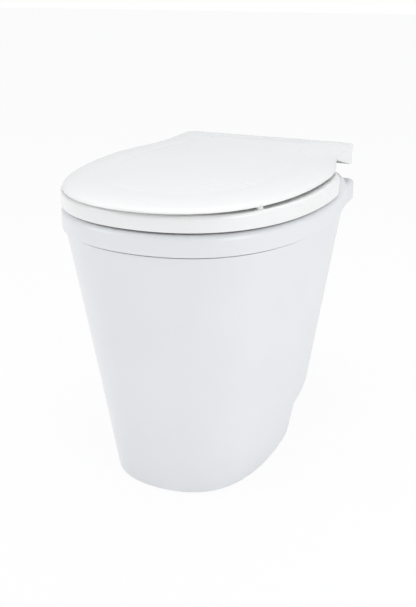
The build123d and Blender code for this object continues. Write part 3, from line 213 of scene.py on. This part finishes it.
BLOCK_Z = 0.4397
BLOCK_LENGTH = 0.0146
BLOCK_HEIGHT = 0.018
SOFT_EDGE = 0.0006


def lid_ring(inset, height):
    """The lid's plan outline drawn in by inset, as a closed loop of edges at a height."""
    half, front, ear, rear = LID_HALF - inset, LID_FRONT - inset, LID_EAR - inset, LID_REAR - inset
    start = LID_EAR_START - EAR_EASE * inset
    lean = EAR_LEAN * (start - LID_MIDDLE)
    run = (rear - LID_CORNER - start) / 3
    turn = CIRCLE * LID_CORNER
    front_pull = FULLNESS * (front + LID_MIDDLE)
    side_pull = FULLNESS * half
    right = [
        ((0, -front), (-side_pull, 0), (side_pull, 0)),
        ((half, LID_MIDDLE), (0, -front_pull), (0, lean)),
        ((ear, start), (0, -lean), (0, run)),
        ((ear, rear - LID_CORNER), (0, -run), (0, turn)),
        ((ear - LID_CORNER, rear), (turn, 0), (-REAR_PULL, 0)),
    ]
    left = [((-p[0], p[1]), (-b[0], b[1]), (-a[0], a[1])) for p, a, b in reversed(right[1:])]
    bpy.ops.curve.primitive_bezier_circle_add()
    ring = bpy.context.object
    ring.data.dimensions = "3D"
    ring.data.resolution_u = 12
    points = ring.data.splines[0].bezier_points
    points.add(len(right + left) - len(points))
    for point, (spot, before, after) in zip(points, right + left):
        point.handle_left_type = "FREE"
        point.handle_right_type = "FREE"
        spot = Vector((spot[0], spot[1], height))
        point.co = spot
        point.handle_left = spot + Vector((before[0], before[1], 0))
        point.handle_right = spot + Vector((after[0], after[1], 0))
    bpy.ops.object.convert(target="MESH")
    return bpy.context.object


def join(pieces):
    """Joins the pieces into the first and leaves it alone selected and active."""
    bpy.ops.object.select_all(action="DESELECT")
    for piece in pieces:
        piece.select_set(True)
    bpy.context.view_layer.objects.active = pieces[0]
    bpy.ops.object.join()
    return pieces[0]


bpy.ops.object.select_all(action="DESELECT")
rings = [lid_ring(EDGE_ROUND, LID_BOTTOM), lid_ring(0.0002, LID_BOTTOM + 0.0004)]
for step in range(DOME_RINGS + 1):
    angle = step / DOME_RINGS * pi / 2
    height = LID_BOTTOM + LID_EDGE + DOME_RISE * sin(angle)
    rings.append(lid_ring(DOME_REACH * (1 - cos(angle)), height))
for step in (1, 2):
    height = LID_BOTTOM + LID_EDGE + DOME_RISE + 0.4 * CROWN_RISE * step
    rings.append(lid_ring(DOME_REACH + CROWN_STEP * step, height))
lid_shell = join(rings)
lid_shell.name = "lid_shell"
bpy.ops.object.mode_set(mode="EDIT")
bpy.ops.mesh.select_all(action="SELECT")
bpy.ops.mesh.bridge_edge_loops()
bpy.ops.mesh.select_all(action="DESELECT")
bpy.ops.object.mode_set(mode="OBJECT")
top = max(vertex.co.z for vertex in lid_shell.data.vertices)
for vertex in lid_shell.data.vertices:
    vertex.select = vertex.co.z > top - 1e-5
bpy.ops.object.mode_set(mode="EDIT")
bpy.ops.mesh.edge_face_add()
bpy.ops.mesh.select_all(action="SELECT")
bpy.ops.mesh.normals_make_consistent(inside=False)
# Two cuts across the rear carry the faint step
for y in (STEP_Y, STEP_Y + STEP_RUN):
    bpy.ops.mesh.select_all(action="SELECT")
    bpy.ops.mesh.bisect(plane_co=(0, y, 0), plane_no=(0, 1, 0))
bpy.ops.mesh.select_all(action="DESELECT")
bpy.ops.object.mode_set(mode="OBJECT")
for vertex in lid_shell.data.vertices:
    behind = vertex.co.y > STEP_Y + STEP_RUN / 2
    inside = vertex.co.z > LID_BOTTOM + 0.003 and abs(vertex.co.x) < LID_EAR - 0.004
    if behind and inside:
        vertex.co.z -= STEP_DROP
wall = lid_shell.modifiers.new("wall", "SOLIDIFY")
wall.thickness = SKIN
wall.offset = -1
bpy.ops.object.modifier_apply(modifier=wall.name)

# The skirt is a strip drawn down from the rim at the rear corners
bpy.ops.object.select_all(action="DESELECT")
skirt = lid_ring(SKIRT_INSET, LID_BOTTOM + 0.001)
for vertex in skirt.data.vertices:
    vertex.select = vertex.co.y < SKIRT_START or abs(vertex.co.x) < SKIRT_INSIDE
bpy.ops.object.mode_set(mode="EDIT")
bpy.ops.mesh.delete(type="VERT")
bpy.ops.mesh.select_all(action="SELECT")
bpy.ops.mesh.extrude_region_move(TRANSFORM_OT_translate={"value": (0, 0, -0.001)})
bpy.ops.object.mode_set(mode="OBJECT")
for vertex in skirt.data.vertices:
    if vertex.select:
        share = min(1, (vertex.co.y - SKIRT_START) / (SKIRT_FULL - SKIRT_START))
        vertex.co.z = LID_BOTTOM + share * (SKIRT_BOTTOM - LID_BOTTOM)
wall = skirt.modifiers.new("wall", "SOLIDIFY")
wall.thickness = SKIN
wall.offset = 0
bpy.ops.object.modifier_apply(modifier=wall.name)
bpy.ops.object.mode_set(mode="EDIT")
bpy.ops.mesh.select_all(action="SELECT")
bpy.ops.mesh.normals_make_consistent(inside=False)
bpy.ops.object.mode_set(mode="OBJECT")

# Knuckles on their blocks, and the bumpers' bosses, all under the skin
parts = [lid_shell, skirt]
for side in (-1, 1):
    bpy.ops.object.select_all(action="DESELECT")
    loops = []
    for radius in (KNUCKLE_RADIUS, PIN_BORE_RADIUS):
        bpy.ops.mesh.primitive_circle_add(
            vertices=40, radius=radius, fill_type="NOTHING",
            location=(side * KNUCKLE_X - KNUCKLE_WIDTH / 2, HINGE_Y, HINGE_Z), rotation=(0, pi / 2, 0),
        )
        loops.append(bpy.context.object)
    knuckle = join(loops)
    bpy.ops.object.transform_apply(location=True, rotation=True, scale=True)
    bpy.ops.object.mode_set(mode="EDIT")
    bpy.ops.mesh.select_all(action="SELECT")
    bpy.ops.mesh.bridge_edge_loops()
    bpy.ops.mesh.extrude_region_move(TRANSFORM_OT_translate={"value": (KNUCKLE_WIDTH, 0, 0)})
    bpy.ops.mesh.select_all(action="SELECT")
    bpy.ops.mesh.normals_make_consistent(inside=False)
    bpy.ops.object.mode_set(mode="OBJECT")
    parts.append(knuckle)
    bpy.ops.mesh.primitive_cube_add(
        size=1, location=(side * KNUCKLE_X, HINGE_Y, BLOCK_Z),
        scale=(KNUCKLE_WIDTH, BLOCK_LENGTH, BLOCK_HEIGHT),
    )
    parts.append(bpy.context.object)
for x, y, radius, boss_top in ((0.141, -0.188, 0.005, 0.4475), (0.150, 0.062, 0.007, 0.4495)):
    for side in (-1, 1):
        bpy.ops.mesh.primitive_cylinder_add(
            vertices=32, radius=radius, depth=boss_top - LID_BOTTOM,
            location=(side * x, y, (boss_top + LID_BOTTOM) / 2),
        )
        parts.append(bpy.context.object)
for part in parts[1:]:
    bpy.ops.object.select_all(action="DESELECT")
    part.select_set(True)
    bpy.context.view_layer.objects.active = part
    bpy.ops.object.transform_apply(location=True, rotation=True, scale=True)
    soft = part.modifiers.new("soft_edges", "BEVEL")
    soft.width = SOFT_EDGE
    soft.segments = 2
    bpy.ops.object.modifier_apply(modifier=soft.name)
lid_shell = join(parts)
bpy.ops.object.shade_smooth_by_angle(angle=radians(32))

pp_white = bpy.data.materials.new("smooth_pp_seat_white")
pp_white.use_nodes = True
tree = pp_white.node_tree
shader = tree.nodes["Principled BSDF"]
shader.inputs["IOR"].default_value = 1.49
shader.inputs["Coat Weight"].default_value = 0.2
shader.inputs["Coat Roughness"].default_value = 0.08
place = add_node(tree, "ShaderNodeTexCoord", {}, {})
flow = add_node(
    tree, "ShaderNodeTexNoise", {"Scale": 7.0, "Detail": 2.0}, {"Vector": place.outputs["Object"]}
)
shade = add_node(tree, "ShaderNodeValToRGB", {}, {"Fac": flow.outputs["Fac"]})
shade.color_ramp.elements[0].color = linear("#F2F2F1")
shade.color_ramp.elements[1].color = linear("#F6F6F5")
tree.links.new(shade.outputs["Color"], shader.inputs["Base Color"])
gloss = add_node(
    tree, "ShaderNodeMapRange", {"To Min": 0.22, "To Max": 0.30}, {"Value": flow.outputs["Fac"]}
)
tree.links.new(gloss.outputs["Result"], shader.inputs["Roughness"])
# Flow ripple of about 4 mm, drawn coarser than the real one so that it shows
ripple = add_node(
    tree, "ShaderNodeTexNoise", {"Scale": 250.0, "Detail": 1.0},
    {"Vector": place.outputs["Object"]}
)
relief = add_node(
    tree, "ShaderNodeBump", {"Strength": 0.06, "Distance": 0.0001},
    {"Height": ripple.outputs["Fac"]}
)
tree.links.new(relief.outputs["Normal"], shader.inputs["Normal"])
lid_shell.data.materials.clear()
lid_shell.data.materials.append(pp_white)
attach(lid_shell, "lid")
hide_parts("lid")

# Seat: the same white as the lid, a hollow ring rounded all round, ribless below, with a
# notch each side for the hinge bracket.
dress(["seat"], pp_white)

# Bumpers and bowl seal: soft white rubber, matte and a little warm, with the fine bloom
# that moulded rubber gets.
white_rubber = bpy.data.materials.new("soft_white_rubber")
white_rubber.use_nodes = True
tree = white_rubber.node_tree
shader = tree.nodes["Principled BSDF"]
shader.inputs["Roughness"].default_value = 0.62
place = add_node(tree, "ShaderNodeTexCoord", {}, {})
bloom = add_node(
    tree, "ShaderNodeTexNoise", {"Scale": 320.0, "Detail": 4.0},
    {"Vector": place.outputs["Object"]}
)
shade = add_node(tree, "ShaderNodeValToRGB", {}, {"Fac": bloom.outputs["Fac"]})
shade.color_ramp.elements[0].color = linear("#E2E2DE")
shade.color_ramp.elements[1].color = linear("#EFEFEC")
tree.links.new(shade.outputs["Color"], shader.inputs["Base Color"])
relief = add_node(
    tree, "ShaderNodeBump", {"Strength": 0.15, "Distance": 0.0001},
    {"Height": bloom.outputs["Fac"]}
)
tree.links.new(relief.outputs["Normal"], shader.inputs["Normal"])
dress(("seat_bumpers", "lid_bumpers", "bowl_seal"), white_rubber)

# Bowl: polished white polypropylene, glossier than the outside so that it rinses clean,
# with slight limescale dulling in broad patches.
bowl_white = bpy.data.materials.new("polished_bowl_plastic")
bowl_white.use_nodes = True
tree = bowl_white.node_tree
shader = tree.nodes["Principled BSDF"]
shader.inputs["Coat Weight"].default_value = 0.4
shader.inputs["Coat Roughness"].default_value = 0.05
place = add_node(tree, "ShaderNodeTexCoord", {}, {})
film = add_node(
    tree, "ShaderNodeTexNoise", {"Scale": 22.0, "Detail": 5.0}, {"Vector": place.outputs["Object"]}
)
shade = add_node(tree, "ShaderNodeValToRGB", {}, {"Fac": film.outputs["Fac"]})
shade.color_ramp.elements[0].color = linear("#EDF0F2")
shade.color_ramp.elements[1].color = linear("#F2F4F5")
tree.links.new(shade.outputs["Color"], shader.inputs["Base Color"])
gloss = add_node(
    tree, "ShaderNodeMapRange", {"To Min": 0.12, "To Max": 0.26}, {"Value": film.outputs["Fac"]}
)
tree.links.new(gloss.outputs["Result"], shader.inputs["Roughness"])
dress(["diverter_bowl"], bowl_white)

# Pads and gaskets: black moulded rubber, matte, with a fine grain and grey dust in it.
black_rubber = bpy.data.materials.new("black_moulded_rubber")
black_rubber.use_nodes = True
tree = black_rubber.node_tree
shader = tree.nodes["Principled BSDF"]
shader.inputs["Roughness"].default_value = 0.75
place = add_node(tree, "ShaderNodeTexCoord", {}, {})
dust = add_node(
    tree, "ShaderNodeTexNoise", {"Scale": 260.0, "Detail": 6.0},
    {"Vector": place.outputs["Object"]}
)
shade = add_node(tree, "ShaderNodeValToRGB", {}, {"Fac": dust.outputs["Fac"]})
shade.color_ramp.elements[0].color = linear("#1C1C1C")
shade.color_ramp.elements[1].color = linear("#353534")
tree.links.new(shade.outputs["Color"], shader.inputs["Base Color"])
relief = add_node(
    tree, "ShaderNodeBump", {"Strength": 0.3, "Distance": 0.0002}, {"Height": dust.outputs["Fac"]}
)
tree.links.new(relief.outputs["Normal"], shader.inputs["Normal"])
dress(("foot_pads", "vent_gasket", "outlet_gasket"), black_rubber)

# Vent collar and drain: extruded and moulded grey waste-pipe polypropylene with faint draw
# lines along it and a dry, slightly waxy face.
pipe_grey = bpy.data.materials.new("grey_waste_pipe_plastic")
pipe_grey.use_nodes = True
tree = pipe_grey.node_tree
shader = tree.nodes["Principled BSDF"]
shader.inputs["IOR"].default_value = 1.49
place = add_node(tree, "ShaderNodeTexCoord", {}, {})
draw = add_node(
    tree, "ShaderNodeMapping", {"Scale": (300.0, 12.0, 300.0)}, {"Vector": place.outputs["Object"]}
)
lines = add_node(
    tree, "ShaderNodeTexNoise", {"Scale": 1.0, "Detail": 3.0}, {"Vector": draw.outputs["Vector"]}
)
shade = add_node(tree, "ShaderNodeValToRGB", {}, {"Fac": lines.outputs["Fac"]})
shade.color_ramp.elements[0].color = linear("#9A9C9E")
shade.color_ramp.elements[1].color = linear("#A8AAAC")
tree.links.new(shade.outputs["Color"], shader.inputs["Base Color"])
gloss = add_node(
    tree, "ShaderNodeMapRange", {"To Min": 0.40, "To Max": 0.55}, {"Value": lines.outputs["Fac"]}
)
tree.links.new(gloss.outputs["Result"], shader.inputs["Roughness"])
relief = add_node(
    tree, "ShaderNodeBump", {"Strength": 0.12, "Distance": 0.0001},
    {"Height": lines.outputs["Fac"]}
)
tree.links.new(relief.outputs["Normal"], shader.inputs["Normal"])
dress(("vent_collar", "urine_pipe", "urine_receiver", "urine_outlet", "outlet_nut"), pipe_grey)

# Container: dark grey recycled polypropylene, spark-eroded to a fine leathery grain that
# hides scratches.
tub_grey = bpy.data.materials.new("grained_container_plastic")
tub_grey.use_nodes = True
tree = tub_grey.node_tree
shader = tree.nodes["Principled BSDF"]
shader.inputs["Roughness"].default_value = 0.58
place = add_node(tree, "ShaderNodeTexCoord", {}, {})
fleck = add_node(
    tree, "ShaderNodeTexNoise", {"Scale": 45.0, "Detail": 6.0}, {"Vector": place.outputs["Object"]}
)
shade = add_node(tree, "ShaderNodeValToRGB", {}, {"Fac": fleck.outputs["Fac"]})
shade.color_ramp.elements[0].color = linear("#4B4F53")
shade.color_ramp.elements[1].color = linear("#5A5E62")
tree.links.new(shade.outputs["Color"], shader.inputs["Base Color"])
grain = add_node(
    tree, "ShaderNodeTexVoronoi", {"Scale": 700.0}, {"Vector": place.outputs["Object"]}
)
relief = add_node(
    tree, "ShaderNodeBump", {"Strength": 0.35, "Distance": 0.0002},
    {"Height": grain.outputs["Distance"]}
)
tree.links.new(relief.outputs["Normal"], shader.inputs["Normal"])
dress(["solids_container"], tub_grey)

# Fan, socket and bail grip: black glass-filled nylon with a fine eroded texture. The lead
# has a smoother sleeve of the same black.
nylon_black = bpy.data.materials.new("black_filled_nylon")
nylon_black.use_nodes = True
tree = nylon_black.node_tree
shader = tree.nodes["Principled BSDF"]
place = add_node(tree, "ShaderNodeTexCoord", {}, {})
grit = add_node(
    tree, "ShaderNodeTexNoise", {"Scale": 900.0, "Detail": 3.0},
    {"Vector": place.outputs["Object"]}
)
shade = add_node(tree, "ShaderNodeValToRGB", {}, {"Fac": grit.outputs["Fac"]})
shade.color_ramp.elements[0].color = linear("#202122")
shade.color_ramp.elements[1].color = linear("#2E2F31")
tree.links.new(shade.outputs["Color"], shader.inputs["Base Color"])
gloss = add_node(
    tree, "ShaderNodeMapRange", {"To Min": 0.42, "To Max": 0.62}, {"Value": grit.outputs["Fac"]}
)
tree.links.new(gloss.outputs["Result"], shader.inputs["Roughness"])
relief = add_node(
    tree, "ShaderNodeBump", {"Strength": 0.2, "Distance": 0.0001}, {"Height": grit.outputs["Fac"]}
)
tree.links.new(relief.outputs["Normal"], shader.inputs["Normal"])
dress(("fan_frame", "fan_rotor", "power_socket", "bail_grip"), nylon_black)

sleeve_black = bpy.data.materials.new("pvc_lead_sleeve")
sleeve_black.use_nodes = True
tree = sleeve_black.node_tree
shader = tree.nodes["Principled BSDF"]
place = add_node(tree, "ShaderNodeTexCoord", {}, {})
scuff = add_node(
    tree, "ShaderNodeTexNoise", {"Scale": 120.0, "Detail": 4.0},
    {"Vector": place.outputs["Object"]}
)
gloss = add_node(
    tree, "ShaderNodeMapRange", {"To Min": 0.28, "To Max": 0.48}, {"Value": scuff.outputs["Fac"]}
)
tree.links.new(gloss.outputs["Result"], shader.inputs["Roughness"])
shader.inputs["Base Color"].default_value = linear("#1A1A1B")
dress(["fan_lead"], sleeve_black)

# Fasteners, pins, bail and strainer: drawn and turned stainless steel, brushed along its
# length, with streaks that stretch the highlights.
steel = bpy.data.materials.new("brushed_stainless_steel")
steel.use_nodes = True
tree = steel.node_tree
shader = tree.nodes["Principled BSDF"]
shader.inputs["Metallic"].default_value = 1.0
place = add_node(tree, "ShaderNodeTexCoord", {}, {})
draw = add_node(
    tree, "ShaderNodeMapping", {"Scale": (40.0, 1800.0, 1800.0)},
    {"Vector": place.outputs["Object"]}
)
streak = add_node(
    tree, "ShaderNodeTexNoise", {"Scale": 1.0, "Detail": 4.0}, {"Vector": draw.outputs["Vector"]}
)
shade = add_node(tree, "ShaderNodeValToRGB", {}, {"Fac": streak.outputs["Fac"]})
shade.color_ramp.elements[0].color = linear("#B9BABB")
shade.color_ramp.elements[1].color = linear("#CFD0D0")
tree.links.new(shade.outputs["Color"], shader.inputs["Base Color"])
gloss = add_node(
    tree, "ShaderNodeMapRange", {"To Min": 0.22, "To Max": 0.38}, {"Value": streak.outputs["Fac"]}
)
tree.links.new(gloss.outputs["Result"], shader.inputs["Roughness"])
relief = add_node(
    tree, "ShaderNodeBump", {"Strength": 0.08, "Distance": 0.00005},
    {"Height": streak.outputs["Fac"]}
)
tree.links.new(relief.outputs["Normal"], shader.inputs["Normal"])
dress(
    (
        "vent_screws", "vent_nuts", "fan_shaft", "power_socket_nut", "container_bail", "bowl_screws",
        "urine_strainer", "hinge_pins", "hinge_bolts", "hinge_washers", "hinge_nuts",
    ),
    steel,
)

# Insect screen: woven stainless wire, duller than the fasteners from its weave.
wire = bpy.data.materials.new("woven_stainless_wire")
wire.use_nodes = True
tree = wire.node_tree
shader = tree.nodes["Principled BSDF"]
shader.inputs["Metallic"].default_value = 1.0
place = add_node(tree, "ShaderNodeTexCoord", {}, {})
tarnish = add_node(
    tree, "ShaderNodeTexNoise", {"Scale": 90.0, "Detail": 5.0}, {"Vector": place.outputs["Object"]}
)
shade = add_node(tree, "ShaderNodeValToRGB", {}, {"Fac": tarnish.outputs["Fac"]})
shade.color_ramp.elements[0].color = linear("#8E8F90")
shade.color_ramp.elements[1].color = linear("#B2B3B4")
tree.links.new(shade.outputs["Color"], shader.inputs["Base Color"])
gloss = add_node(
    tree, "ShaderNodeMapRange", {"To Min": 0.38, "To Max": 0.55}, {"Value": tarnish.outputs["Fac"]}
)
tree.links.new(gloss.outputs["Result"], shader.inputs["Roughness"])
dress(["insect_screen"], wire)
